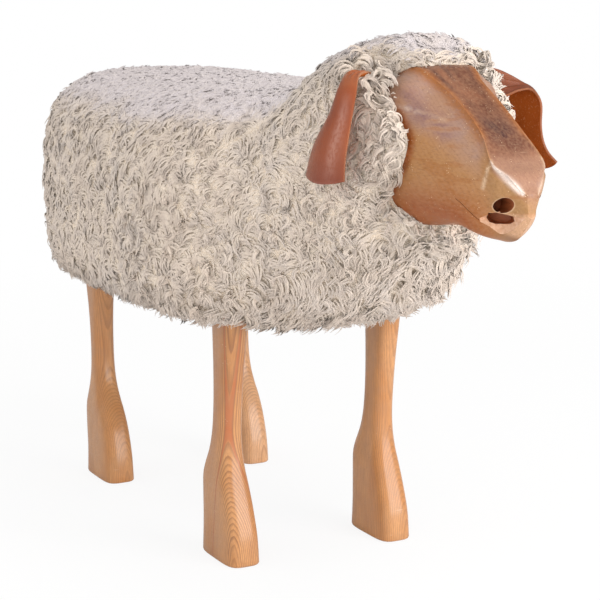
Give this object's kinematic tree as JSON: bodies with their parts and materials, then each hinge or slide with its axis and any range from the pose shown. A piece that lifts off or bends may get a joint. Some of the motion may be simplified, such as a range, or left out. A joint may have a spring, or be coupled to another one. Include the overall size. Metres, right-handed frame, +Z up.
{
  "type": "animal footstool",
  "caption": "Sheep-shaped footstool: padded fleece body and hood, carved wooden head with nostrils, carved pine legs with hooves, and leather ears that swing.",
  "frame": {"origin": "on the floor, under the middle of the stool's bounding box", "axes": "-Y towards the nose, +X towards the sheep's left side, +Z up"},
  "size_m": [0.3512, 0.835, 0.5456],
  "materials": {
    "pine": "satin lacquered pine, carved and sanded",
    "rough_pine": "sawn softwood, unfinished, hidden inside",
    "plywood": "birch plywood, unfinished",
    "head_wood": "carved hardwood, dark patina, waxed gloss",
    "wool": "curly sheep fleece, matted flat on the seat",
    "foam": "upholstery padding, hidden inside",
    "cloth": "black lining cloth under the belly",
    "leather": "red-brown leather, glossy outside, suede inside",
    "steel": "zinc-plated fixings"
  },
  "bodies": {
    "stool": {"leg_front_right": "pine", "leg_block_front_right": "rough_pine", "leg_screw_front_right": "steel", "leg_front_left": "pine", "leg_block_front_left": "rough_pine", "leg_screw_front_left": "steel", "leg_rear_right": "pine", "leg_block_rear_right": "rough_pine", "leg_screw_rear_right": "steel", "leg_rear_left": "pine", "leg_block_rear_left": "rough_pine", "leg_screw_rear_left": "steel", "base_board": "plywood", "seat_board": "plywood", "side_rail_right": "rough_pine", "side_rail_left": "rough_pine", "front_bulkhead": "rough_pine", "rear_bulkhead": "rough_pine", "centre_rib": "rough_pine", "neck_post": "rough_pine", "neck_screw_lower": "steel", "neck_screw_upper": "steel", "head_dowel_right": "rough_pine", "head_dowel_left": "rough_pine", "head": "head_wood", "rump_pad": "foam", "side_pad_right": "foam", "side_pad_left": "foam", "seat_pad": "foam", "chest_pad": "foam", "neck_pad": "foam", "fleece_body": "wool", "fleece_hood": "wool", "belly_cloth": "cloth", "belly_tack_right_1": "steel", "belly_tack_right_2": "steel", "belly_tack_right_3": "steel", "belly_tack_right_4": "steel", "belly_tack_left_1": "steel", "belly_tack_left_2": "steel", "belly_tack_left_3": "steel", "belly_tack_left_4": "steel"},
    "ear_right_flap": {"ear_right": "leather"},
    "ear_left_flap": {"ear_left": "leather"}
  },
  "joints": [
    {"name": "ear_right_swing", "type": "hinge", "parent": "stool", "child": "ear_right_flap", "pos_m": [-0.0525, -0.251, 0.507], "axis": [0, 1, 0], "range_deg": [0, 50]},
    {"name": "ear_left_swing", "type": "hinge", "parent": "stool", "child": "ear_left_flap", "pos_m": [0.0525, -0.251, 0.507], "axis": [0, -1, 0], "range_deg": [0, 50]}
  ]
}
